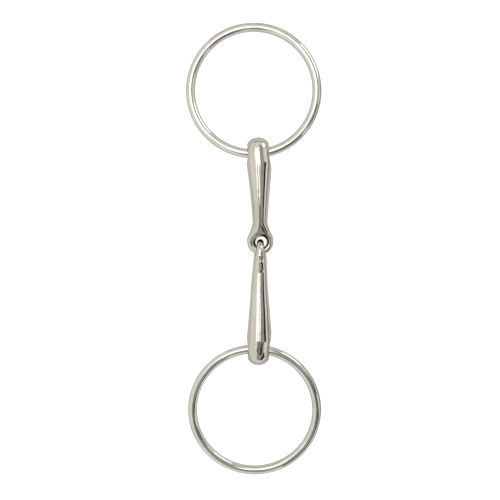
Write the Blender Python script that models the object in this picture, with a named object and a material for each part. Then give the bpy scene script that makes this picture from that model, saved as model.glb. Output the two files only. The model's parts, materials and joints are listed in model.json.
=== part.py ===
"""Loose-ring, single-jointed snaffle bit: two wire rings and two linked cannon halves.

The bit lies flat on a table. +Y runs up the mouthpiece, +X to the right, +Z up,
and the origin is at the middle of the bounding box's underside. Units are metres.
"""
import math

import bmesh
import bpy
from mathutils import Matrix, Vector

MM = 0.001

# Mouthpiece
MOUTH_SIZE = 127.0 * MM       # between the two ring holes, the size a bit is sold by
UPPER_SHARE = 0.449           # of the mouth size, from the upper ring hole to its eye's centre
EYE_SPACING = 6.7 * MM        # between the two eyes' centres when the halves lie straight
UPPER_LEAN = math.radians(1.37)
LOWER_LEAN = math.radians(-0.3)
LOWER_EYE_SET_OVER = 0.8 * MM

# Rings
RING_INNER_DIA = 75.0 * MM
WIRE_DIA = 6.0 * MM
UPPER_RING_YAW = math.radians(4.1)
LOWER_RING_YAW = math.radians(-3.55)

# Ring holes
HOLE_CLEARANCE = 1.0 * MM     # all round, between the wire and the hole's wall
HOLE_WIDTH = 14.3 * MM        # across the butt between its two flats
HOLE_CHAMFER = 0.6 * MM
FLAT_REACH = 1.5 * MM         # from the hole inwards to where the flats start to swell out
RING_SET_BACK = 0.3 * MM      # the wire's middle sits this much nearer to the mouth

# Butts: the fat outer ends of the cannons
BUTT_DIA = 16.5 * MM
BUTT_SHOULDER = 6.5 * MM      # from the hole inwards to the fattest place
BUTT_BLUNTNESS = 6.0          # power of the end's outline: 2 is an ellipse, more is blunter
UPPER_DOME = 10.1 * MM        # from the hole outwards to the end
LOWER_DOME = 10.0 * MM

# Necks and eyes
NECK_DEPTH = 9.6 * MM         # in the plane of the eye
NECK_WIDTH = 8.6 * MM         # across the eye
EYE_BAR_DEPTH = 4.1 * MM      # of the eye's bar, in the plane of the eye
EYE_BAR_WIDTH = 4.6 * MM      # of the eye's bar, across the eye
EYE_CLEARANCE = 2.35 * MM     # each side, between one bar and the other eye's wall
NECK_FROM_EYE = 13.2 * MM     # from the eye's centre to the thinnest place
SHOULDER_FROM_EYE = 1.7 * MM  # where the neck's flanks start beside the eye's hole

# Mesh fineness
ROUND_STEPS = 28
BUTT_STEPS = 12
LENGTH_STEPS = 18
RING_STEPS = 72
WIRE_STEPS = 14
EYE_STEPS = 32
BAR_STEPS = 12

EYE_HOLE_RADIUS = EYE_BAR_DEPTH / 2 + EYE_CLEARANCE
EYE_MID_RADIUS = EYE_HOLE_RADIUS + EYE_BAR_DEPTH / 2
EYE_OUTER_RADIUS = EYE_HOLE_RADIUS + EYE_BAR_DEPTH
AXIS_HEIGHT = max(EYE_OUTER_RADIUS, BUTT_DIA / 2)  # of both cannons above the table
RING_MID_RADIUS = (RING_INNER_DIA + WIRE_DIA) / 2
HOLE_RADIUS = WIRE_DIA / 2 + HOLE_CLEARANCE
RING_TILT = math.asin((AXIS_HEIGHT - WIRE_DIA / 2) / (2 * RING_MID_RADIUS))
UPPER_LENGTH = MOUTH_SIZE * UPPER_SHARE
LOWER_LENGTH = MOUTH_SIZE - UPPER_LENGTH - EYE_SPACING


def clear_scene():
    """Removes every object already in the file."""
    for old in list(bpy.data.objects):
        bpy.data.objects.remove(old, do_unlink=True)


def polished_steel(name, colour, roughness):
    """Returns a polished stainless steel material."""
    material = bpy.data.materials.new(name)
    material.use_nodes = True
    shader = material.node_tree.nodes["Principled BSDF"]
    shader.inputs["Base Color"].default_value = (*colour, 1.0)
    shader.inputs["Roughness"].default_value = roughness
    shader.inputs["Metallic"].default_value = 1.0
    return material


def add_object(name, bm, material=None):
    """Turns a bmesh into a smooth-shaded object."""
    bmesh.ops.recalc_face_normals(bm, faces=bm.faces)
    mesh = bpy.data.meshes.new(name)
    bm.to_mesh(mesh)
    bm.free()
    mesh.shade_smooth()
    if material:
        mesh.materials.append(material)
    item = bpy.data.objects.new(name, mesh)
    bpy.context.scene.collection.objects.link(item)
    return item


def add_pivot(name, parent, location, turn=0.0):
    """Adds an empty on a pivot, turned about Z from its parent."""
    empty = bpy.data.objects.new(name, None)
    bpy.context.scene.collection.objects.link(empty)
    empty.empty_display_size = 8 * MM
    empty.parent = parent
    empty.location = location
    empty.rotation_euler = (0.0, 0.0, turn)
    return empty


def smooth_step(low, high, value):
    """Rises from 0 to 1 between low and high, level at both ends."""
    share = min(max((value - low) / (high - low), 0.0), 1.0)
    return share * share * (3 - 2 * share)


def oval_torus(mid_radius, half_radial, half_axial, around, across):
    """Returns a bmesh torus about Z whose section is an ellipse."""
    bm = bmesh.new()
    section = []
    for step in range(across):
        angle = 2 * math.pi * step / across
        place = (mid_radius + half_radial * math.cos(angle), 0.0, half_axial * math.sin(angle))
        section.append(bm.verts.new(place))
    edges = [bm.edges.new((section[i - 1], section[i])) for i in range(across)]
    bmesh.ops.spin(bm, geom=section + edges, axis=(0, 0, 1), cent=(0, 0, 0),
                   angle=2 * math.pi, steps=around, use_merge=True)
    bmesh.ops.remove_doubles(bm, verts=bm.verts, dist=0.01 * MM)
    return bm


def taper(share):
    """Returns how much of the narrowing from butt to neck has happened, 0 to 1."""
    return 0.7 * share + 0.3 * math.sin(math.pi / 2 * share)


def half_sizes(place, length, dome):
    """Returns half the depth and half the width of a cannon, place metres from its hole."""
    if place < BUTT_SHOULDER:
        share = (BUTT_SHOULDER - place) / (BUTT_SHOULDER + dome)
        half = BUTT_DIA / 2 * math.sqrt(max(1 - share ** BUTT_BLUNTNESS, 0.0))
        return half, half
    neck = length - NECK_FROM_EYE
    shoulder = length - SHOULDER_FROM_EYE
    narrowed = taper(min((place - BUTT_SHOULDER) / (neck - BUTT_SHOULDER), 1.0))
    depth = (BUTT_DIA + (NECK_DEPTH - BUTT_DIA) * narrowed) / 2
    depth += (EYE_OUTER_RADIUS - NECK_DEPTH / 2) * smooth_step(neck, length, place)
    narrowed = taper((place - BUTT_SHOULDER) / (shoulder - BUTT_SHOULDER))
    width = (BUTT_DIA + (NECK_WIDTH - BUTT_DIA) * narrowed) / 2
    return depth, width


def loft(loops, start_tip):
    """Returns a closed bmesh through a row of loops, pointed at its start and flat at its end."""
    bm = bmesh.new()
    rows = [[bm.verts.new(point) for point in loop] for loop in loops]
    count = len(rows[0])
    for first, second in zip(rows, rows[1:]):
        for i in range(count):
            j = (i + 1) % count
            bm.faces.new((first[i], first[j], second[j], second[i]))
    tip = bm.verts.new(start_tip)
    for i in range(count):
        bm.faces.new((tip, rows[0][(i + 1) % count], rows[0][i]))
    bm.faces.new(rows[-1])
    return bm


def cannon_body(length, dome, set_over):
    """Returns a cannon's body: ring hole at the origin, eye along +Y, the eye's plane upright."""
    sweep = BUTT_SHOULDER + dome
    places = [BUTT_SHOULDER - sweep * math.cos(math.pi / 2 * i / BUTT_STEPS)
              for i in range(1, BUTT_STEPS + 1)]
    reach = length - SHOULDER_FROM_EYE - BUTT_SHOULDER
    places += [BUTT_SHOULDER + reach * i / LENGTH_STEPS for i in range(1, LENGTH_STEPS + 1)]
    loops = []
    for place in places:
        depth, width = half_sizes(place, length, dome)
        side = set_over * smooth_step(length - 2 * NECK_FROM_EYE, length, place)
        turns = [2 * math.pi * step / ROUND_STEPS for step in range(ROUND_STEPS)]
        loops.append([(side + width * math.cos(turn), place, depth * math.sin(turn)) for turn in turns])
    return loft(loops, (0.0, -dome, 0.0))


def flatten_flanks(body):
    """Presses the two flats on a cannon's butt, beside its ring hole."""
    for vert in body.verts:
        rise = smooth_step(FLAT_REACH, BUTT_SHOULDER, vert.co.y)
        limit = (HOLE_WIDTH + (BUTT_DIA - HOLE_WIDTH) * rise) / 2
        vert.co.x = min(max(vert.co.x, -limit), limit)


def bar_along_x(half_profile):
    """Returns a bmesh bar along X about the origin, the same at both ends.

    half_profile lists (radius, distance from the middle), outwards.
    """
    end = half_profile[-1][1]
    profile = [(0.0, -end)] + [(radius, -along) for radius, along in reversed(half_profile)]
    profile += half_profile + [(0.0, end)]
    bm = bmesh.new()
    points = [bm.verts.new((along, radius, 0.0)) for radius, along in profile]
    edges = [bm.edges.new(pair) for pair in zip(points, points[1:])]
    bmesh.ops.spin(bm, geom=points + edges, axis=(1, 0, 0), cent=(0, 0, 0),
                   angle=2 * math.pi, steps=EYE_STEPS, use_merge=True)
    bmesh.ops.remove_doubles(bm, verts=bm.verts, dist=0.01 * MM)
    return bm


def combine(item, other, operation):
    """Adds an exact Boolean of another object, which follows the item."""
    other.parent = item
    other.hide_render = True
    other.display_type = "WIRE"
    step = item.modifiers.new(f"{operation.lower()}_{other.name}", "BOOLEAN")
    step.operation = operation
    step.object = other
    step.solver = "EXACT"


def build_cannon(name, material, length, dome, set_over, eye_turn):
    """Builds one half: ring hole at the origin, eye along +Y, the eye turned about Y by eye_turn."""
    body = cannon_body(length, dome, set_over)
    turn = Matrix.Rotation(eye_turn, 3, "Y")
    bmesh.ops.rotate(body, verts=body.verts, cent=(0, 0, 0), matrix=turn)
    flatten_flanks(body)
    item = add_object(name, body, material)
    eye_place = turn @ Vector((set_over, length, 0.0))
    eye_axis = turn @ Matrix.Rotation(math.pi / 2, 3, "Y")

    eye = oval_torus(EYE_MID_RADIUS, EYE_BAR_DEPTH / 2, EYE_BAR_WIDTH / 2, EYE_STEPS, BAR_STEPS)
    bmesh.ops.rotate(eye, verts=eye.verts, cent=(0, 0, 0), matrix=eye_axis)
    bmesh.ops.translate(eye, verts=eye.verts, vec=eye_place)
    combine(item, add_object(f"{name}_eye", eye), "UNION")

    hole = bar_along_x([(EYE_HOLE_RADIUS, 1.25 * EYE_BAR_WIDTH)])
    bmesh.ops.rotate(hole, verts=hole.verts, cent=(0, 0, 0), matrix=turn)
    bmesh.ops.translate(hole, verts=hole.verts, vec=eye_place)
    combine(item, add_object(f"{name}_eye_hole", hole), "DIFFERENCE")

    mouth = HOLE_RADIUS + 2 * HOLE_CHAMFER
    ring_hole = bar_along_x([(HOLE_RADIUS, HOLE_WIDTH / 2 - HOLE_CHAMFER),
                             (mouth, HOLE_WIDTH / 2 + HOLE_CHAMFER), (mouth, BUTT_DIA)])
    combine(item, add_object(f"{name}_ring_hole", ring_hole), "DIFFERENCE")
    return item


def build_ring(name, material, pivot, yaw, tilt):
    """Builds one ring through the hole at its pivot, reaching along the pivot's -Y."""
    ring = oval_torus(RING_MID_RADIUS, WIRE_DIA / 2, WIRE_DIA / 2, RING_STEPS, WIRE_STEPS)
    bmesh.ops.translate(ring, verts=ring.verts, vec=(0.0, RING_SET_BACK - RING_MID_RADIUS, 0.0))
    item = add_object(name, ring, material)
    item.parent = pivot
    item.rotation_euler = (tilt, 0.0, yaw)
    return item


def direction(angle):
    """Returns +Y turned about Z by this angle."""
    return Vector((-math.sin(angle), math.cos(angle), 0.0))


def build_bit():
    """Builds the whole bit around its centre link."""
    upper_eye = Vector((0.0, EYE_SPACING / 2, AXIS_HEIGHT))
    lower_eye = upper_eye - Vector((LOWER_EYE_SET_OVER, EYE_SPACING, 0.0))
    upper_hole = upper_eye + UPPER_LENGTH * direction(UPPER_LEAN)
    lower_hole = lower_eye - LOWER_LENGTH * direction(LOWER_LEAN)
    upper_top = upper_hole + 2 * RING_MID_RADIUS * direction(UPPER_RING_YAW)
    lower_end = lower_hole - 2 * RING_MID_RADIUS * direction(LOWER_RING_YAW)
    ring_middles = (upper_hole + upper_top + lower_hole + lower_end) / 4
    middle = Vector((ring_middles.x, (upper_top.y + lower_end.y) / 2, 0.0))

    cast = polished_steel("polished_cast_steel", (0.60, 0.58, 0.53), 0.10)
    wire = polished_steel("polished_wire_steel", (0.66, 0.64, 0.60), 0.07)

    frame = add_pivot("bit_frame", None, -middle)
    upper_pivot = add_pivot("cannon_upper_place", frame, upper_hole, math.pi + UPPER_LEAN)
    upper = build_cannon("cannon_upper", cast, UPPER_LENGTH, UPPER_DOME, 0.0, math.pi / 2)
    upper.parent = upper_pivot

    fold = upper_eye - EYE_MID_RADIUS * direction(UPPER_LEAN)
    fold_pivot = add_pivot("centre_fold_pivot", frame, fold, UPPER_LEAN)
    lower = build_cannon("cannon_lower", cast, LOWER_LENGTH, LOWER_DOME, LOWER_EYE_SET_OVER, 0.0)
    lower.parent = fold_pivot
    turn = Matrix.Rotation(-UPPER_LEAN, 3, "Z")
    lower.location = turn @ (lower_hole - fold)
    lower.rotation_euler = (0.0, 0.0, LOWER_LEAN - UPPER_LEAN)

    upper_swing = add_pivot("ring_upper_pivot", upper_pivot, (0, 0, 0))
    build_ring("ring_upper", wire, upper_swing, UPPER_RING_YAW - UPPER_LEAN, RING_TILT)
    lower_swing = add_pivot("ring_lower_pivot", lower, (0, 0, 0))
    build_ring("ring_lower", wire, lower_swing, LOWER_RING_YAW - LOWER_LEAN, RING_TILT)


clear_scene()
build_bit()
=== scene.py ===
"""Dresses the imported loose-ring snaffle bit: two linked cannon halves and two wire rings.

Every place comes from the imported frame. Units are metres: +Y runs up the mouthpiece,
+X to the right and +Z up off the table that the bit lies on.
"""

import json
import logging
import math
from dataclasses import dataclass, field
from enum import Enum

import bpy
import numpy as np
from mathutils import Matrix, Vector

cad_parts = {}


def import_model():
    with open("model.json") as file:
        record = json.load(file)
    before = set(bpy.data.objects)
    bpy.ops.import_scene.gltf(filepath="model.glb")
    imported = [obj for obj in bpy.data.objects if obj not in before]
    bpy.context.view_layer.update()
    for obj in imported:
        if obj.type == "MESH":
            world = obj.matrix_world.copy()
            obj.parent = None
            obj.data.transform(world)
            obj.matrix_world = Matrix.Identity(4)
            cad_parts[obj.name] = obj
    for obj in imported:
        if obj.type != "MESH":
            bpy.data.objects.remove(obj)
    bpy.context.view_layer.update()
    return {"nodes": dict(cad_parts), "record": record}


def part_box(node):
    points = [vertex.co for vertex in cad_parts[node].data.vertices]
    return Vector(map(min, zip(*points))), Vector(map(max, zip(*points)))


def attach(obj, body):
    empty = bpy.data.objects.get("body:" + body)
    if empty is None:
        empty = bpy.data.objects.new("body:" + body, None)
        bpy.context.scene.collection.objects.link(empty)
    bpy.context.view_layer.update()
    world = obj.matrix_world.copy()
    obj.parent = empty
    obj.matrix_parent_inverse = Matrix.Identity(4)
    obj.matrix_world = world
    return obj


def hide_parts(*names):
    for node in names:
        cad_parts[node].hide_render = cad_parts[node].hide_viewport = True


MM = 0.001
# Name of the point attribute that holds the painted shade.
PAINTED_SHADE = "painted_shade"
FOLD_FROM_EYE = 6.45 * MM
METAL_IOR = 2.5
TINY = 1e-9
log = logging.getLogger("snaffle_bit")


class EyeAttitude(Enum):
    """How a cannon's eye stands as the bit lies on the table."""

    FLAT = "flat"
    UPRIGHT = "upright"


def smooth_step(low: float, high: float, value: np.ndarray) -> np.ndarray:
    """Rises from 0 to 1 between two values, level at both ends.

    Args:
        low: The value at which the rise starts.
        high: The value at which it ends.
        value: Where to read it.

    Returns:
        The risen share at each value.
    """
    share = np.clip((value - low) / (high - low), 0.0, 1.0)
    return share * share * (3 - 2 * share)


def blend_min(first: np.ndarray, second: np.ndarray, reach: float) -> np.ndarray:
    """Joins two solids with a rounded fillet.

    Args:
        first: One solid's field, negative inside.
        second: The other solid's field.
        reach: How far from the seam the fillet starts.

    Returns:
        The joined solid's field.
    """
    near = np.clip(0.5 + 0.5 * (second - first) / reach, 0.0, 1.0)
    return second + (first - second) * near - reach * near * (1 - near)


def blend_max(first: np.ndarray, second: np.ndarray, reach: float) -> np.ndarray:
    """Keeps what two solids share, with a rounded edge.

    Args:
        first: One solid's field, negative inside.
        second: The other solid's field.
        reach: How far from the edge the rounding starts.

    Returns:
        The shared solid's field.
    """
    return -blend_min(-first, -second, reach)


@dataclass(frozen=True)
class SteelFinish:
    """A polished stainless finish with its own wear.

    Attributes:
        name: The material's name.
        slot: The record's material slot; not used.
        tint: The metal's own reflected colour.
        stain: The slightly darker, warmer colour of handled patches.
        gloss: The lowest and highest roughness.
        scratch: How densely the hairlines lie, across and along the piece.
        scratch_depth: How strongly the hairlines tip the surface.
        wave_scale: Size of the polishing wheel's waves, per metre.
        wave_depth: How strongly those waves tip the surface.
        along_uv: True where hairlines run round a ring, and not along +Y.
        edge_tint: What the metal reflects at a glancing angle.
        shade_paint: The near-black colour painted into its holes and corners as shade.
        smear_scale: Size of the handled patches, per metre.
        pit_scale: Size of its finest pits, per metre.
        pit_depth: How strongly the pits tip the surface.
        hairline_height: How deep a hairline or pit is.
    """

    name: str
    slot: str
    tint: tuple[float, float, float]
    stain: tuple[float, float, float]
    gloss: tuple[float, float]
    scratch: tuple[float, float, float]
    scratch_depth: float
    wave_scale: float
    wave_depth: float
    along_uv: bool
    edge_tint: tuple[float, float, float] = (0.82, 0.81, 0.79)
    # Near-black colour painted in as shade in holes and corners.
    shade_paint: tuple[float, float, float] = (0.006, 0.005, 0.003)
    smear_scale: float = 55.0
    pit_scale: float = 420.0
    pit_depth: float = 0.12
    hairline_height: float = 0.02 * MM

    def material(self) -> bpy.types.Material:
        """Builds the node material.

        Returns:
            The new material.
        """
        made = bpy.data.materials.new(self.name)
        made.use_nodes = True
        tree = made.node_tree
        shader = tree.nodes["Principled BSDF"]
        shader.inputs["Metallic"].default_value = 1.0
        shader.inputs["IOR"].default_value = METAL_IOR
        shader.inputs["Specular Tint"].default_value = (*self.edge_tint, 1.0)

        place = tree.nodes.new("ShaderNodeTexCoord")
        stretch = tree.nodes.new("ShaderNodeMapping")
        stretch.inputs["Scale"].default_value = self.scratch
        tree.links.new(place.outputs["UV" if self.along_uv else "Object"], stretch.inputs["Vector"])

        hairlines = self._noise(tree, stretch.outputs["Vector"], scale=1.0, detail=3.0, rough=0.62)
        smears = self._noise(tree, place.outputs["Object"], scale=self.smear_scale, detail=5.0,
                             rough=0.60)
        waves = self._noise(tree, place.outputs["Object"], scale=self.wave_scale, detail=2.0,
                            rough=0.45)
        pits = tree.nodes.new("ShaderNodeTexVoronoi")
        pits.inputs["Scale"].default_value = self.pit_scale
        tree.links.new(place.outputs["Object"], pits.inputs["Vector"])

        patch = self._range(tree, smears, source=(0.42, 0.72), target=(0.0, 1.0))
        colour = tree.nodes.new("ShaderNodeMix")
        colour.data_type = "RGBA"
        colour.inputs[6].default_value = (*self.tint, 1.0)
        colour.inputs[7].default_value = (*self.stain, 1.0)
        tree.links.new(patch, colour.inputs["Factor"])
        # Mixes the colour towards near black where the painted shade attribute is high: painted shade
        # in holes and corners.
        painted_shade = tree.nodes.new("ShaderNodeAttribute")
        painted_shade.attribute_name = PAINTED_SHADE
        shade_paint = tree.nodes.new("ShaderNodeMix")
        shade_paint.data_type = "RGBA"
        shade_paint.inputs[7].default_value = (*self.shade_paint, 1.0)
        tree.links.new(painted_shade.outputs["Fac"], shade_paint.inputs["Factor"])
        tree.links.new(colour.outputs[2], shade_paint.inputs[6])
        tree.links.new(shade_paint.outputs[2], shader.inputs["Base Color"])

        rub = self._range(tree, hairlines, source=(0.35, 0.75), target=(0.0, 0.5))
        rub_and_patch = tree.nodes.new("ShaderNodeMath")
        rub_and_patch.operation = "MULTIPLY_ADD"
        rub_and_patch.inputs[1].default_value = 0.5
        tree.links.new(patch, rub_and_patch.inputs[0])
        tree.links.new(rub, rub_and_patch.inputs[2])
        roughness = self._range(tree, rub_and_patch.outputs[0], source=(0.0, 1.0),
                                target=self.gloss)
        tree.links.new(roughness, shader.inputs["Roughness"])

        wave_bump = self._bump(tree, waves, self.wave_depth, 1.0 * MM, None)
        line_bump = self._bump(tree, hairlines, self.scratch_depth, self.hairline_height, wave_bump)
        pit_rise = self._range(tree, pits.outputs["Distance"], source=(0.0, 0.16),
                               target=(0.0, 1.0))
        pit_bump = self._bump(tree, pit_rise, self.pit_depth, self.hairline_height, line_bump)
        tree.links.new(pit_bump, shader.inputs["Normal"])
        return made

    @staticmethod
    def _noise(tree: bpy.types.NodeTree, place: bpy.types.NodeSocket, scale: float,
               detail: float, rough: float) -> bpy.types.NodeSocket:
        """Adds a noise texture.

        Args:
            tree: The material's nodes.
            place: The coordinate it is read at.
            scale: Its scale.
            detail: Its octaves.
            rough: How much the finer octaves count.

        Returns:
            The noise's factor.
        """
        noise = tree.nodes.new("ShaderNodeTexNoise")
        noise.inputs["Scale"].default_value = scale
        noise.inputs["Detail"].default_value = detail
        noise.inputs["Roughness"].default_value = rough
        tree.links.new(place, noise.inputs["Vector"])
        return noise.outputs["Fac"]

    @staticmethod
    def _range(tree: bpy.types.NodeTree, value: bpy.types.NodeSocket, source: tuple[float, float],
               target: tuple[float, float]) -> bpy.types.NodeSocket:
        """Maps a value from one range to another.

        Args:
            tree: The material's nodes.
            value: The value to map.
            source: The range it comes from.
            target: The range it goes to.

        Returns:
            The mapped value.
        """
        mapped = tree.nodes.new("ShaderNodeMapRange")
        mapped.inputs["From Min"].default_value = source[0]
        mapped.inputs["From Max"].default_value = source[1]
        mapped.inputs["To Min"].default_value = target[0]
        mapped.inputs["To Max"].default_value = target[1]
        tree.links.new(value, mapped.inputs["Value"])
        return mapped.outputs["Result"]

    @staticmethod
    def _bump(tree: bpy.types.NodeTree, height: bpy.types.NodeSocket, strength: float,
              distance: float, under: bpy.types.NodeSocket | None) -> bpy.types.NodeSocket:
        """Adds a bump on top of another.

        Args:
            tree: The material's nodes.
            height: The bump's height.
            strength: How much of it shows.
            distance: The height that a value of 1 stands for.
            under: The normal below, or None.

        Returns:
            The bumped normal.
        """
        bump = tree.nodes.new("ShaderNodeBump")
        bump.inputs["Strength"].default_value = strength
        bump.inputs["Distance"].default_value = distance
        tree.links.new(height, bump.inputs["Height"])
        if under is not None:
            tree.links.new(under, bump.inputs["Normal"])
        return bump.outputs["Normal"]


CAST_STEEL = SteelFinish(
    name="hand_polished_casting", slot="cast_steel",
    tint=(0.66, 0.64, 0.57), stain=(0.56, 0.54, 0.47), gloss=(0.035, 0.13),
    scratch=(1500.0, 60.0, 1500.0), scratch_depth=0.5,
    wave_scale=95.0, wave_depth=0.10, along_uv=False)
WIRE_STEEL = SteelFinish(
    name="buffed_ring_wire", slot="wire_steel",
    tint=(0.70, 0.68, 0.62), stain=(0.60, 0.58, 0.52), gloss=(0.03, 0.11),
    scratch=(34.0, 60.0, 1.0), scratch_depth=0.35,
    wave_scale=70.0, wave_depth=0.05, along_uv=True)


def joint_named(record: dict, name: str) -> dict:
    """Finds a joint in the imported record.

    Args:
        record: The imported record.
        name: The joint's name.

    Returns:
        The joint, with pos_m and axis.
    """
    return next(j for j in record["behaviour"]["joints"] if j["name"] == name)


def finish_piece(name: str, mesh: bpy.types.Mesh, finish: SteelFinish, body: str,
                 node: str) -> bpy.types.Object:
    """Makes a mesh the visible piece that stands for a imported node.

    Args:
        name: The piece's name.
        mesh: Its finished mesh.
        finish: Its steel.
        body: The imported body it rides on.
        node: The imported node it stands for.

    Returns:
        The new piece.
    """
    mesh.shade_smooth()
    mesh.materials.clear()
    mesh.materials.append(finish.material())
    piece = bpy.data.objects.new(name, mesh)
    bpy.context.scene.collection.objects.link(piece)
    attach(piece, body)
    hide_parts(node)
    return piece


@dataclass(frozen=True)
class ShadeArc:
    """An arc round an eye's hole where the painted shade reaches further out, or less far.

    Attributes:
        turn: The arc's middle, in degrees from the hole's right towards the body.
        slope: How fast it fades to both sides.
        cut: How much is taken off it before it fades.
        reach: How much further out the painted shade reaches there.
    """

    turn: float
    slope: float
    cut: float
    reach: float

    def at(self, around: np.ndarray) -> np.ndarray:
        """Returns the added reach at angles round the hole."""
        share = self.slope * np.cos(around - math.radians(self.turn)) - self.cut
        return self.reach * np.clip(share, 0.0, 1.0)


@dataclass(frozen=True)
class WeldedTongue:
    """The tongue of an eye, bent back and welded down onto the body's upper side.

    Attributes:
        length: From the eye's middle to the tongue's tip.
        height: How far it stands above the body sunk round it.
        half_width: Half its width at the eye, over half its width at the tip.
        tip_half_width: Half its width at the tip.
        tip_aside: Where the tip lies across the body.
        edge: Half the width of its sloping edge.
        root: Where it fades into the eye, along the body from the eye's middle.
        above: Where it comes out of the body, up from the middle line.
        sink: Past the tip and at the eye, where the body starts and ends sinking.
        pits: How far past the tip and how far aside each weld pit lies.
        pit_radius: The size of a pit.
        pit_depth: The depth of a pit.
    """

    length: float = 8.6 * MM
    height: float = 0.25 * MM
    half_width: float = 2.7 * MM
    tip_half_width: float = 0.25 * MM
    tip_aside: float = -0.9 * MM
    edge: float = 0.8 * MM
    root: tuple[float, float] = (-3.0 * MM, -0.5 * MM)
    above: tuple[float, float] = (2.0 * MM, 3.5 * MM)
    sink: tuple[float, float] = (2.0 * MM, 1.0 * MM)
    pits: tuple[tuple[float, float], ...] = ((1.2 * MM, -0.9 * MM), (3.0 * MM, -0.4 * MM))
    pit_radius: float = 0.55 * MM
    pit_depth: float = 0.07 * MM

    def mask(self, side: np.ndarray, from_eye: np.ndarray, deep: np.ndarray,
             root_aside: float) -> np.ndarray:
        """Shows where the tongue lies.

        Args:
            side: Across the eye.
            from_eye: Back from the eye's middle, along the body.
            deep: In the eye's plane, up from the middle line.
            root_aside: Where the eye sits across the body.

        Returns:
            1 on the tongue, 0 off it.
        """
        share = np.clip(from_eye / self.length, 0.0, 1.0)
        middle = root_aside + (self.tip_aside - root_aside) * share ** 1.5
        half = self.half_width * (1 - share ** 2.2) + self.tip_half_width
        across = 1 - smooth_step(-self.edge, self.edge, np.abs(side - middle) - half)
        along = smooth_step(*self.root, from_eye)
        along = along * (1 - smooth_step(-self.edge, self.edge, from_eye - self.length))
        return across * along * smooth_step(*self.above, deep)

    def sunk(self, side: np.ndarray, from_eye: np.ndarray, deep: np.ndarray,
             root_aside: float) -> np.ndarray:
        """Shows how far the body sinks round the tongue.

        Args:
            side: Across the eye.
            from_eye: Back from the eye's middle, along the body.
            deep: In the eye's plane, up from the middle line.
            root_aside: Where the eye sits across the body.

        Returns:
            The depth in metres.
        """
        started = smooth_step(self.length + self.sink[0], self.sink[1], from_eye)
        return self.height * started * (1 - self.mask(side, from_eye, deep, root_aside))

    def pitting(self, side: np.ndarray, from_eye: np.ndarray, deep: np.ndarray) -> np.ndarray:
        """Shows how deep the weld's pits are.

        Args:
            side: Across the eye.
            from_eye: Back from the eye's middle, along the body.
            deep: In the eye's plane, up from the middle line.

        Returns:
            The depth in metres.
        """
        depth = np.zeros_like(side)
        for along, aside in self.pits:
            far = (from_eye - self.length - along) ** 2 + (side - aside) ** 2
            depth += self.pit_depth * np.exp(-far / self.pit_radius ** 2) * (deep > 0)
        return depth


@dataclass(frozen=True)
class GrindingMarks:
    """The shallow hollows that hand grinding left on a cannon.

    Attributes:
        groove_out: From the eye's hole to the middle of the groove round it.
        groove_half: Half the groove's width.
        groove_depth: The groove's depth.
        groove_span: Where the groove fades in, from the eye's middle towards the body.
        dent_at: Where the dent lies, along the butt from the ring hole.
        dent_half: Half the dent's width and half its length.
        dent_depth: The dent's depth.
        ripple_depth: Height of the ripple on the butt's end.
        ripple_size: Size of the ripple, across and along.
        ripple_phase: Where the ripple starts, across and along.
    """

    groove_out: float = 2.2 * MM
    groove_half: float = 0.5 * MM
    groove_depth: float = 0.12 * MM
    groove_span: tuple[float, float] = (-3.0 * MM, 1.0 * MM)
    dent_at: float = -0.8 * MM
    dent_half: tuple[float, float] = (2.6 * MM, 0.9 * MM)
    dent_depth: float = 0.04 * MM
    ripple_depth: float = 0.03 * MM
    ripple_size: tuple[float, float] = (1.1 * MM, 0.9 * MM)
    ripple_phase: tuple[float, float] = (1.3, 0.4)

    def groove(self, from_hole: np.ndarray, from_eye: np.ndarray) -> np.ndarray:
        """Returns the depth of the groove round the eye's hole."""
        middle = np.exp(-((from_hole - self.groove_out) / self.groove_half) ** 2)
        return self.groove_depth * middle * smooth_step(*self.groove_span, from_eye)

    def dent(self, x: np.ndarray, y: np.ndarray, z: np.ndarray) -> np.ndarray:
        """Shows how deep the dent across the top of the butt is.

        Args:
            x: Across the butt.
            y: Along it from the ring hole.
            z: Up from the middle line.

        Returns:
            The depth in metres.
        """
        across = np.exp(-(x / self.dent_half[0]) ** 2)
        along = np.exp(-((y - self.dent_at) / self.dent_half[1]) ** 2)
        return self.dent_depth * across * along * (z > 0)

    def ripple(self, x: np.ndarray, y: np.ndarray) -> np.ndarray:
        """Returns the height of the ripple on the butt's end."""
        across = np.sin(x / self.ripple_size[0] + self.ripple_phase[0])
        return self.ripple_depth * across * np.sin(y / self.ripple_size[1] + self.ripple_phase[1])


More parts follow.
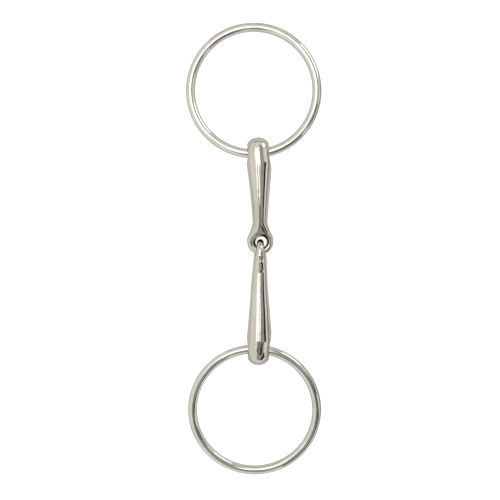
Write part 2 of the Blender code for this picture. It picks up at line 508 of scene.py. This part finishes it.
@dataclass
class CannonHalf:
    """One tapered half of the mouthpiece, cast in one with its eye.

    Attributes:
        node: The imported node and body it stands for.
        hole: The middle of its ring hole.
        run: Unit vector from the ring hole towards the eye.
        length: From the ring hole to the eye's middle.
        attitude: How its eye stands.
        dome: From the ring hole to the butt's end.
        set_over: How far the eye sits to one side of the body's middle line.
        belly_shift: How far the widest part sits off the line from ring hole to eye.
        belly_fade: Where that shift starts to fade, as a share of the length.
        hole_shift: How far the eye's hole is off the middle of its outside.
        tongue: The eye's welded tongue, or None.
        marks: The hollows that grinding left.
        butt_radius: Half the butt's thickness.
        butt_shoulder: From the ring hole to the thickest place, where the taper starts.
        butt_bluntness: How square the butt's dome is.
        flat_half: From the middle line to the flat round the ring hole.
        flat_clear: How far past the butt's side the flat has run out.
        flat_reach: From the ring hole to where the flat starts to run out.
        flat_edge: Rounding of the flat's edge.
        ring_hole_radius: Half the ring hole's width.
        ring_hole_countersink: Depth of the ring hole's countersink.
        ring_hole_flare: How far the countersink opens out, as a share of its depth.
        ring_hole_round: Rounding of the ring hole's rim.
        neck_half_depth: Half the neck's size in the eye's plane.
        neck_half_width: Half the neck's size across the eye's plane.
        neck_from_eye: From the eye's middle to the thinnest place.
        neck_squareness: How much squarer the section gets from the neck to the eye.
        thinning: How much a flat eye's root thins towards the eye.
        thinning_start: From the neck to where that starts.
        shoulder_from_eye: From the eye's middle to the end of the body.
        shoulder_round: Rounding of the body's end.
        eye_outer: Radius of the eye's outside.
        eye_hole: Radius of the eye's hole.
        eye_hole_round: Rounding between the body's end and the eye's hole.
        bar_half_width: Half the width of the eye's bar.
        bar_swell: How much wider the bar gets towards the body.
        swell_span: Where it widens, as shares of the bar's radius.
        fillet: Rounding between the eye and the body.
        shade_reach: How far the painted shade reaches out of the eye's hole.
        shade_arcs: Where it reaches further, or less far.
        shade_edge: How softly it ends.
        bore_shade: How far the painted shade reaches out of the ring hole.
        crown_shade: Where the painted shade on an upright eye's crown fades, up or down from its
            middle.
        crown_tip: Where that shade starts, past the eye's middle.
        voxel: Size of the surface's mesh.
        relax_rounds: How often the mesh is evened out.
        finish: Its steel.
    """

    node: str
    hole: Vector
    run: Vector
    length: float
    attitude: EyeAttitude
    dome: float
    set_over: float = 0.0
    belly_shift: float = 0.0
    belly_fade: float = 0.35
    hole_shift: float = 0.0
    tongue: WeldedTongue | None = None
    marks: GrindingMarks = field(default=GrindingMarks())
    butt_radius: float = 8.25 * MM
    butt_shoulder: float = 6.5 * MM
    butt_bluntness: float = 4.6
    flat_half: float = 7.15 * MM
    flat_clear: float = 2.5 * MM
    flat_reach: float = 0.5 * MM
    flat_edge: float = 0.5 * MM
    ring_hole_radius: float = 4.0 * MM
    ring_hole_countersink: float = 0.9 * MM
    ring_hole_flare: float = 1.3
    ring_hole_round: float = 0.7 * MM
    neck_half_depth: float = 4.8 * MM
    neck_half_width: float = 4.2 * MM
    neck_from_eye: float = 13.2 * MM
    neck_squareness: float = 0.8
    thinning: float = 1.2 * MM
    thinning_start: float = 2.0 * MM
    shoulder_from_eye: float = 1.2 * MM
    shoulder_round: float = 1.6 * MM
    eye_outer: float = 8.46 * MM
    eye_hole: float = 3.75 * MM
    eye_hole_round: float = 1.0 * MM
    bar_half_width: float = 2.35 * MM
    bar_swell: float = 0.9 * MM
    swell_span: tuple[float, float] = (-0.5, 0.6)
    fillet: float = 0.9 * MM
    shade_reach: float = 0.5 * MM
    # Arcs where the painted shade round the eye's hole reaches further or less far.
    shade_arcs: tuple[ShadeArc, ...] = (
        ShadeArc(turn=35, slope=1.4, cut=0.0, reach=0.65 * MM),
        ShadeArc(turn=125, slope=2.5, cut=1.5, reach=-0.4 * MM),
        ShadeArc(turn=188, slope=3.0, cut=1.9, reach=0.8 * MM))
    shade_edge: float = 0.25 * MM
    bore_shade: float = 0.8 * MM
    crown_shade: tuple[float, float] = (2.6 * MM, 4.2 * MM)
    crown_tip: tuple[float, float] = (7.7 * MM, 8.15 * MM)
    voxel: float = 0.42 * MM
    relax_rounds: int = 8
    finish: SteelFinish = field(default=CAST_STEEL)

    @property
    def bar_half_depth(self) -> float:
        """Half the thickness of the eye's bar, from its hole to its outside."""
        return (self.eye_outer - self.eye_hole) / 2

    @property
    def eye_mid(self) -> float:
        """Radius of the middle of the eye's bar."""
        return (self.eye_outer + self.eye_hole) / 2

    def local_axes(self) -> Matrix:
        """Finds where the cannon's own axes lie on the table.

        Returns:
            The matrix from its own axes, hole along X and eye along Y, to the table's.
        """
        across = self.run.cross(Vector((0, 0, 1)))
        turn = Matrix((across, self.run, Vector((0, 0, 1)))).transposed()
        return Matrix.Translation(self.hole) @ turn.to_4x4()

    @staticmethod
    def taper(share: np.ndarray) -> np.ndarray:
        """Returns how much of the narrowing from butt to neck has happened."""
        return 0.7 * share + 0.3 * np.sin(math.pi / 2 * share)

    @staticmethod
    def late_taper(share: np.ndarray) -> np.ndarray:
        """Returns the same for a side that narrows mostly near the eye."""
        return 0.5 * share + 0.5 * share ** 2

    def body_field(self, x: np.ndarray, y: np.ndarray, z: np.ndarray) -> np.ndarray:
        """Describes the butt and the tapered body without the eye.

        Args:
            x: Along the ring hole.
            y: Along the body, towards the eye.
            z: Up.

        Returns:
            The field, negative inside and about a distance in metres.
        """
        upright = self.attitude is EyeAttitude.UPRIGHT
        flat_x = x
        x = x - self.belly_shift * (smooth_step(0.0, self.butt_shoulder, y)
                                    - smooth_step(self.belly_fade * self.length, self.length, y))
        side, deep = (x, z) if upright else (z, x)
        share = np.clip((self.butt_shoulder - y) / (self.butt_shoulder + self.dome), 0.0, None)
        butt = (x * x + z * z) / self.butt_radius ** 2 + share ** self.butt_bluntness - 1
        butt *= self.butt_radius / 2

        neck = self.length - self.neck_from_eye
        reach = np.clip((y - self.butt_shoulder) / (neck - self.butt_shoulder), 0.0, 1.0)
        depth = self.butt_radius + (self.neck_half_depth - self.butt_radius) * self.taper(reach)
        depth += (self.eye_outer - self.neck_half_depth) * smooth_step(neck, self.length, y)
        if self.tongue:
            depth -= self.tongue.sunk(side, self.length - y, deep, self.set_over)
        shoulder = self.length - self.shoulder_from_eye
        reach = np.clip((y - self.butt_shoulder) / (shoulder - self.butt_shoulder), 0.0, 1.0)
        narrowed = self.taper(reach) if upright else self.late_taper(reach)
        width = self.butt_radius + (self.neck_half_width - self.butt_radius) * narrowed
        if not upright:
            width -= self.thinning * smooth_step(neck + self.thinning_start, self.length, y)
        middle = self.set_over * smooth_step(self.length - 2 * self.neck_from_eye, self.length, y)
        power = 2.0 + self.neck_squareness * smooth_step(neck, self.length, y)
        shell = np.abs((side - middle) / width) ** power + np.abs(deep / depth) ** power
        taper = (shell ** (1 / power) - 1) * np.minimum(width, depth)
        solid = np.where(y < self.butt_shoulder, butt, taper)

        rise = smooth_step(self.flat_reach, self.butt_shoulder, y)
        flat = self.flat_half + (self.butt_radius + self.flat_clear - self.flat_half) * rise
        solid = blend_max(solid, np.abs(flat_x) - flat, self.flat_edge)
        return blend_max(solid, y - shoulder, self.shoulder_round)

    def field_at(self, points: np.ndarray) -> np.ndarray:
        """Describes the whole cannon.

        Args:
            points: Places in the cannon's own axes, one row each.

        Returns:
            The field, negative inside and about a distance in metres.
        """
        x, y, z = points.T
        upright = self.attitude is EyeAttitude.UPRIGHT
        side, deep = (x, z) if upright else (z, x)
        body = self.body_field(x, y, z)
        from_eye = self.length - y
        out = np.sqrt(from_eye ** 2 + deep ** 2)
        from_wall = np.sqrt(from_eye ** 2 + (deep - self.hole_shift) ** 2) - self.eye_hole
        body = blend_max(body, -from_wall, self.eye_hole_round)

        swell = self.bar_swell * smooth_step(*self.swell_span, from_eye / self.eye_mid)
        bar_width = self.bar_half_width + swell
        from_outside = self.eye_outer - out
        through = (from_wall - from_outside) / (from_wall + from_outside)
        ring = np.sqrt(through ** 2 + ((side - self.set_over) / bar_width) ** 2) - 1
        solid = blend_min(body, ring * self.bar_half_depth, self.fillet)

        if self.tongue:
            solid = solid + self.tongue.pitting(side, from_eye, deep)
        else:
            solid = solid + self.marks.groove(out - self.eye_hole, from_eye)
            solid = solid + self.marks.dent(x, y, z)
        solid = solid + self.marks.ripple(x, y) * smooth_step(self.butt_shoulder, 0.0, y)
        mouth = np.clip(np.abs(x) - self.flat_half + self.ring_hole_countersink, 0.0, None)
        flare = self.ring_hole_flare * mouth * mouth / self.ring_hole_countersink
        bore = self.ring_hole_radius + flare - np.sqrt(y * y + z * z)
        return blend_max(solid, bore, self.ring_hole_round)

    def painted_shade(self, points: np.ndarray) -> np.ndarray:
        """Shows how much painted shade darkens each place.

        Args:
            points: Places on the surface, in the cannon's own axes.

        Returns:
            1 deep in a hole, 0 on the open surface.
        """
        x, y, z = points.T
        upright = self.attitude is EyeAttitude.UPRIGHT
        deep = z if upright else x
        from_eye = self.length - y
        from_wall = np.sqrt(from_eye ** 2 + (deep - self.hole_shift) ** 2) - self.eye_hole
        # Painted shade inside the ring hole's mouth.
        bore = 1 - smooth_step(self.ring_hole_radius, self.ring_hole_radius + self.bore_shade,
                               np.sqrt(y * y + z * z))
        around = np.arctan2(from_eye, -(deep - self.hole_shift))
        # Painted shade round the eye's hole, wider on some arcs.
        reach = self.shade_reach + sum(arc.at(around) for arc in self.shade_arcs)
        wall = 1 - smooth_step(reach, reach + self.shade_edge, from_wall)
        # Painted shade on an upright eye's crown, where it sits inside the other eye's hole.
        if upright:
            crown = 1 - smooth_step(*self.crown_shade, np.abs(deep))
            wall = np.maximum(wall, crown * smooth_step(*self.crown_tip, -from_eye))
        return np.maximum(bore, wall)

    def settle(self, points: np.ndarray, rounds: int) -> np.ndarray:
        """Moves points onto the surface by Newton steps.

        Args:
            points: Places near the surface, in the cannon's own axes.
            rounds: How many steps to take.

        Returns:
            The places on the surface.
        """
        probe, flattest, longest = 0.02 * MM, 0.05, 0.4 * MM
        for _ in range(rounds):
            value = self.field_at(points)
            slope = np.empty_like(points)
            for axis in range(3):
                step = np.zeros(3)
                step[axis] = probe
                slope[:, axis] = self.field_at(points + step) - self.field_at(points - step)
            slope /= 2 * probe
            size = np.maximum((slope ** 2).sum(axis=1), flattest)
            move = slope * (value / size)[:, None]
            length = np.linalg.norm(move, axis=1, keepdims=True)
            points = points - move * np.minimum(1.0, longest / np.maximum(length, TINY))
        return points

    def surface(self, packed: bpy.types.Object) -> bpy.types.Mesh:
        """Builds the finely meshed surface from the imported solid's coarse one.

        Args:
            packed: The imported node's object.

        Returns:
            The mesh, in the table's axes.
        """
        blank = bpy.data.objects.new(f"{self.node}_blank", packed.data.copy())
        bpy.context.scene.collection.objects.link(blank)
        remesh = blank.modifiers.new("even_grid", "REMESH")
        remesh.mode = "VOXEL"
        remesh.voxel_size = self.voxel
        graph = bpy.context.evaluated_depsgraph_get()
        mesh = bpy.data.meshes.new_from_object(blank.evaluated_get(graph))
        bpy.data.objects.remove(blank, do_unlink=True)

        count = len(mesh.vertices)
        flat = np.empty(count * 3)
        mesh.vertices.foreach_get("co", flat)
        edges = np.empty(len(mesh.edges) * 2, dtype=np.int64)
        mesh.edges.foreach_get("vertices", edges)
        edges = edges.reshape(-1, 2)
        links = np.bincount(edges.ravel(), minlength=count)[:, None]

        place = np.array(self.local_axes())
        back = np.linalg.inv(place)
        points = flat.reshape(-1, 3) @ back[:3, :3].T + back[:3, 3]
        points = self.settle(points, rounds=6)
        for _ in range(self.relax_rounds):
            around = np.zeros_like(points)
            np.add.at(around, edges[:, 0], points[edges[:, 1]])
            np.add.at(around, edges[:, 1], points[edges[:, 0]])
            points = self.settle(0.4 * points + 0.6 * around / links, rounds=2)
        # Stores the painted shade on each point: darkness painted into holes and corners.
        shade = mesh.attributes.new(PAINTED_SHADE, "FLOAT", "POINT")
        shade.data.foreach_set("value", self.painted_shade(points))
        points = points @ place[:3, :3].T + place[:3, 3]
        mesh.vertices.foreach_set("co", points.ravel())
        mesh.update()
        return mesh

    def build(self, packed: bpy.types.Object) -> bpy.types.Object:
        """Builds and dresses the half.

        Args:
            packed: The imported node's object.

        Returns:
            The visible piece.
        """
        mesh = self.surface(packed)
        piece = finish_piece(f"{self.node}_casting", mesh, self.finish, self.node, self.node)
        log.info("%s: %d faces", piece.name, len(mesh.polygons))
        return piece


@dataclass
class WireRing:
    """One ring of round wire, bent and closed by a ground weld.

    Attributes:
        node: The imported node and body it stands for.
        hole: The middle of the ring hole that it hangs in.
        wire_radius: Half the wire's thickness.
        weld_turn: Where the weld is, in turns from the hole.
        weld_dip: How far the ground weld dips.
        weld_half: Half the weld's length along the wire.
        waviness: How far the hand-bent wire's thickness wavers.
        waves: How many times it wavers round the ring.
        wave_start: Where it starts, in turns.
        steps: Faces round the ring and round the wire.
        finish: Its steel.
    """

    node: str
    hole: Vector
    wire_radius: float = 3.0 * MM
    weld_turn: float = 0.31
    weld_dip: float = 0.05 * MM
    weld_half: float = 1.6 * MM
    waviness: float = 0.012 * MM
    waves: int = 5
    wave_start: float = 0.7
    steps: tuple[int, int] = (320, 40)
    finish: SteelFinish = field(default=WIRE_STEEL)

    def build(self) -> bpy.types.Object:
        """Builds and dresses the ring.

        Returns:
            The visible piece.
        """
        low, high = (Vector(corner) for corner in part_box(self.node))
        middle = (low + high) / 2
        mid_radius = (high.x - low.x) / 2 - self.wire_radius
        towards = (self.hole - middle).normalized()
        across = towards.cross(Vector((0, 0, 1))).normalized()
        normal = across.cross(towards).normalized()

        turns = np.arange(self.steps[0]) / self.steps[0]
        rounds = np.arange(self.steps[1]) / self.steps[1]
        turn, wrap = (grid.ravel() for grid in np.meshgrid(turns, rounds, indexing="ij"))
        from_weld = (turn - self.weld_turn + 0.5) % 1.0 - 0.5
        distance = from_weld * 2 * math.pi * mid_radius
        wire = self.wire_radius - self.weld_dip * np.exp(-(distance / self.weld_half) ** 2)
        waver = np.sin(2 * math.pi * (self.waves * turn + self.wave_start))
        wire = wire - self.waviness * (1 + waver)
        out = mid_radius + wire * np.cos(2 * math.pi * wrap)
        rise = wire * np.sin(2 * math.pi * wrap)
        spin = 2 * math.pi * turn
        points = np.array(middle) + np.outer(out * np.cos(spin), towards)
        points += np.outer(out * np.sin(spin), across) + np.outer(rise, normal)

        count, sides = self.steps
        faces = [(i * sides + j, ((i + 1) % count) * sides + j,
                  ((i + 1) % count) * sides + (j + 1) % sides, i * sides + (j + 1) % sides)
                 for i in range(count) for j in range(sides)]
        mesh = bpy.data.meshes.new(f"{self.node}_wire")
        mesh.from_pydata([tuple(point) for point in points], [], faces)
        mesh.validate()
        if self._points_inward(mesh, middle, mid_radius, towards, across):
            mesh.flip_normals()
        self._lay_uv(mesh, count, sides)
        piece = finish_piece(f"{self.node}_wire", mesh, self.finish, self.node, self.node)
        log.info("%s: %d faces", piece.name, len(mesh.polygons))
        return piece

    @staticmethod
    def _points_inward(mesh: bpy.types.Mesh, middle: Vector, mid_radius: float, towards: Vector,
                       across: Vector) -> bool:
        """Tells whether the first face's normal points into the wire.

        Args:
            mesh: The ring's mesh.
            middle: The ring's middle.
            mid_radius: From the ring's middle to the wire's middle.
            towards: Unit vector from the middle to the hole.
            across: Unit vector along the wire at the hole.

        Returns:
            True where the faces are inside out.
        """
        face = mesh.polygons[0]
        flat = face.center - middle
        spin = math.atan2(flat.dot(across), flat.dot(towards))
        core = middle + mid_radius * (math.cos(spin) * towards + math.sin(spin) * across)
        return (face.center - core).dot(face.normal) < 0

    @staticmethod
    def _lay_uv(mesh: bpy.types.Mesh, count: int, sides: int) -> None:
        """Lays a map whose first direction goes across the wire and second along it.

        Args:
            mesh: The ring's mesh.
            count: Faces round the ring.
            sides: Faces round the wire.
        """
        layer = mesh.uv_layers.new(name="round_the_ring")
        for face in mesh.polygons:
            row, column = divmod(face.index, sides)
            for loop in face.loop_indices:
                corner = mesh.loops[loop].vertex_index
                i, j = divmod(corner, sides)
                i = i + count if row == count - 1 and i == 0 else i
                j = j + sides if column == sides - 1 and j == 0 else j
                layer.data[loop].uv = (j / sides, i / count)


@dataclass(frozen=True)
class LevelPanel:
    """A soft box or card that hangs or lies level.

    Attributes:
        name: What it is.
        height: Above the table.
        across: Where it starts and ends in X.
        along: Where it starts and ends in Y.
        shade: How bright its face looks, 0 for black and 1 for plain white.
    """

    name: str
    height: float
    across: tuple[float, float]
    along: tuple[float, float]
    shade: float

    @property
    def size(self) -> tuple[float, float]:
        """Its width and height."""
        return self.across[1] - self.across[0], self.along[1] - self.along[0]

    def settle(self, item: bpy.types.Object) -> None:
        """Puts a lamp or card where this one goes."""
        item.location = (sum(self.across) / 2, sum(self.along) / 2, self.height)


@dataclass(frozen=True)
class StandingPanel:
    """A soft box or card that stands and faces the bit.

    Attributes:
        name: What it is.
        azimuth: Degrees from +X towards +Y.
        elevation: Degrees above the table.
        distance: Metres from the bit's middle.
        size: Its width and height.
        shade: How bright its face looks, 0 for black and 1 for plain white.
    """

    name: str
    azimuth: float
    elevation: float
    distance: float
    size: tuple[float, float]
    shade: float

    def settle(self, item: bpy.types.Object) -> None:
        """Puts a lamp or card where this one goes, with its width level.

        Args:
            item: The lamp or card, which faces along its own -Z.
        """
        turn, rise = math.radians(self.azimuth), math.radians(self.elevation)
        flat = math.cos(rise)
        back = Vector((flat * math.cos(turn), flat * math.sin(turn), math.sin(rise)))
        item.location = self.distance * back
        level = Vector((0, 0, 1)).cross(back).normalized()
        item.rotation_euler = Matrix((level, back.cross(level), back)).transposed().to_euler()


SOFT_BOXES = (
    LevelPanel("left_strip", 0.9, (-0.530, -0.354), (-0.135, 0.45), 1.25),
    LevelPanel("top_soft_box", 0.9, (-0.354, 0.160), (-0.135, 0.46), 1.2),
    StandingPanel("far_right_box", 42, 22, 0.9, (0.40, 0.45), 1.35),
)
CARDS = (
    LevelPanel("strip_gap", 0.88, (-0.347, -0.195), (-0.14, -0.02), 0.10),
    LevelPanel("upper_top_grey", 0.88, (-0.055, 0.200), (-0.14, -0.02), 0.75),
    LevelPanel("camera_shade", 0.88, (-0.045, 0.020), (-0.02, 0.025), 0.10),
    LevelPanel("right_ceiling", 0.75, (0.132, 0.750), (-0.80, 0.80), 0.43),
    LevelPanel("near_ceiling", 0.75, (-0.22, 0.132), (-0.36, -0.118), 0.27),
    LevelPanel("near_right_flag", 0.74, (0.17, 0.50), (-0.46, -0.19), 0.07),
    LevelPanel("near_far_ceiling", 0.75, (-0.22, 0.132), (-1.07, -0.36), 0.42),
    LevelPanel("table_bounce", -0.01 * MM, (-1.5, 1.5), (-1.5, 1.5), 0.74),
    LevelPanel("table_shade", -0.005 * MM, (0.06, 1.00), (-0.25, 0.25), 0.33),
    StandingPanel("near_black_flag", -52, 33, 0.7, (0.52, 0.22), 0.0),
    StandingPanel("right_black_flag", -3.5, 36.5, 0.7, (0.25, 0.22), 0.0),
    StandingPanel("right_grey_wall", 0, 2.5, 1.0, (1.2, 0.09), 0.33),
    StandingPanel("far_grey_wall", 90, 13, 0.9, (1.2, 0.16), 0.2),
)


@dataclass
class Studio:
    """The table, lights, cards and camera around the bit.

    Attributes:
        aim: Where the camera looks.
        distance: From the camera to where it looks.
        pitch: How far the camera leans off straight down, in degrees.
        lens: Focal length on the sensor's width.
        sensor: The sensor's width in millimetres.
        table_half: Half the table top's width.
        table_drop: How far the table top lies under the bit.
        table_colour: The matt board on the table.
        table_glow: How bright the board shines by itself, which lifts the bit's shadow.
        tent_colour: The white tent round everything.
        tent_glow: How bright the tent is.
    """

    aim: Vector
    distance: float = 0.8
    pitch: float = -3.98
    lens: float = 89.35
    sensor: float = 36.0
    table_half: float = 4.0
    table_drop: float = 0.02 * MM
    table_colour: tuple[float, float, float] = (0.93, 0.93, 0.92)
    table_glow: float = 0.45
    tent_colour: tuple[float, float, float] = (1.0, 0.995, 0.97)
    tent_glow: float = 0.95

    def camera(self) -> None:
        """Stands the camera over the bit, looking almost straight down."""
        data = bpy.data.cameras.new("overhead_camera")
        data.lens = self.lens
        data.sensor_width = self.sensor
        data.clip_start = 0.02
        item = bpy.data.objects.new("overhead_camera", data)
        bpy.context.scene.collection.objects.link(item)
        lean = math.radians(self.pitch)
        look = Vector((0.0, math.sin(lean), -math.cos(lean)))
        item.location = self.aim - self.distance * look
        item.rotation_euler = (lean, 0.0, 0.0)
        bpy.context.scene.camera = item

    @staticmethod
    def sheet(name: str, half_x: float, half_y: float, finish: bpy.types.Material) -> bpy.types.Object:
        """Builds a level sheet about its own middle.

        Args:
            name: The sheet's name.
            half_x: Half its width.
            half_y: Half its height.
            finish: What it is made of.

        Returns:
            The sheet, marked as part of the stage.
        """
        mesh = bpy.data.meshes.new(name)
        corners = [(-half_x, -half_y, 0), (half_x, -half_y, 0),
                   (half_x, half_y, 0), (-half_x, half_y, 0)]
        mesh.from_pydata(corners, [], [(0, 1, 2, 3)])
        mesh.materials.append(finish)
        item = bpy.data.objects.new(name, mesh)
        bpy.context.scene.collection.objects.link(item)
        return item

    def table(self) -> None:
        """Lays the plain pale table top just under the bit."""
        made = bpy.data.materials.new("pale_matt_board")
        made.use_nodes = True
        shader = made.node_tree.nodes["Principled BSDF"]
        shader.inputs["Base Color"].default_value = (*self.table_colour, 1.0)
        shader.inputs["Roughness"].default_value = 0.85
        shader.inputs["Specular IOR Level"].default_value = 0.1
        shader.inputs["Emission Color"].default_value = (1.0, 1.0, 1.0, 1.0)
        shader.inputs["Emission Strength"].default_value = self.table_glow
        item = self.sheet("pale_table", self.table_half, self.table_half, made)
        item.location.z = -self.table_drop

    def card(self, panel: LevelPanel | StandingPanel) -> None:
        """Places a black, grey or white card that only the steel sees.

        Args:
            panel: Where it goes, its size and its shade.
        """
        made = bpy.data.materials.new(panel.name)
        made.use_nodes = True
        tree = made.node_tree
        tree.nodes.clear()
        glow = tree.nodes.new("ShaderNodeEmission")
        glow.inputs["Color"].default_value = (panel.shade, panel.shade, panel.shade, 1.0)
        end = tree.nodes.new("ShaderNodeOutputMaterial")
        tree.links.new(glow.outputs["Emission"], end.inputs["Surface"])
        item = self.sheet(panel.name, panel.size[0] / 2, panel.size[1] / 2, made)
        item.visible_camera = False
        item.visible_diffuse = False
        item.visible_shadow = False
        panel.settle(item)

    @staticmethod
    def soft_box(panel: LevelPanel | StandingPanel) -> None:
        """Hangs a soft box.

        Args:
            panel: Where it goes, its size and its brightness.
        """
        data = bpy.data.lights.new(panel.name, "AREA")
        data.shape = "RECTANGLE"
        data.size, data.size_y = panel.size
        data.energy = panel.shade * math.pi * panel.size[0] * panel.size[1]
        item = bpy.data.objects.new(panel.name, data)
        bpy.context.scene.collection.objects.link(item)
        panel.settle(item)

    def build(self) -> None:
        """Sets up the whole studio."""
        self.camera()
        self.table()
        tent = bpy.data.worlds.new("white_tent")
        tent.use_nodes = True
        back = tent.node_tree.nodes["Background"]
        back.inputs["Color"].default_value = (*self.tent_colour, 1.0)
        back.inputs["Strength"].default_value = self.tent_glow
        bpy.context.scene.world = tent
        bpy.context.scene.view_settings.view_transform = "Standard"
        for panel in SOFT_BOXES:
            self.soft_box(panel)
        for panel in CARDS:
            self.card(panel)


def main() -> None:
    """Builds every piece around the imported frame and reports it."""
    logging.basicConfig(level=logging.INFO, format="%(name)s: %(message)s")
    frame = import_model()
    record = frame["record"]
    fold = Vector(joint_named(record, "centre_fold")["pos_m"])
    upper_joint = joint_named(record, "ring_upper_swing")
    lower_joint = joint_named(record, "ring_lower_swing")
    upper_hole, lower_hole = Vector(upper_joint["pos_m"]), Vector(lower_joint["pos_m"])
    up = Vector((0, 0, 1))

    upper_run = up.cross(Vector(upper_joint["axis"])).normalized()
    upper = CannonHalf(
        node="cannon_upper", hole=upper_hole, run=upper_run,
        length=(fold - upper_hole).length - FOLD_FROM_EYE, attitude=EyeAttitude.FLAT,
        dome=10.1 * MM, hole_shift=-0.55 * MM, belly_shift=-0.55 * MM)
    upper.build(frame["nodes"]["cannon_upper"])

    lower_run = up.cross(Vector(lower_joint["axis"])).normalized()
    lower_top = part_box("cannon_lower")[1][1]
    lower = CannonHalf(
        node="cannon_lower", hole=lower_hole, run=lower_run,
        length=lower_top - CannonHalf.eye_outer - lower_hole.y, attitude=EyeAttitude.UPRIGHT,
        dome=10.0 * MM, set_over=0.8 * MM, belly_shift=0.55 * MM, tongue=WeldedTongue())
    lower.build(frame["nodes"]["cannon_lower"])

    WireRing(node="ring_upper", hole=upper_hole).build()
    WireRing(node="ring_lower", hole=lower_hole, weld_turn=0.66).build()

    Studio(aim=Vector((-2.68 * MM, 1.21 * MM, 8.0 * MM))).build()


if __name__ == "__main__":
    main()
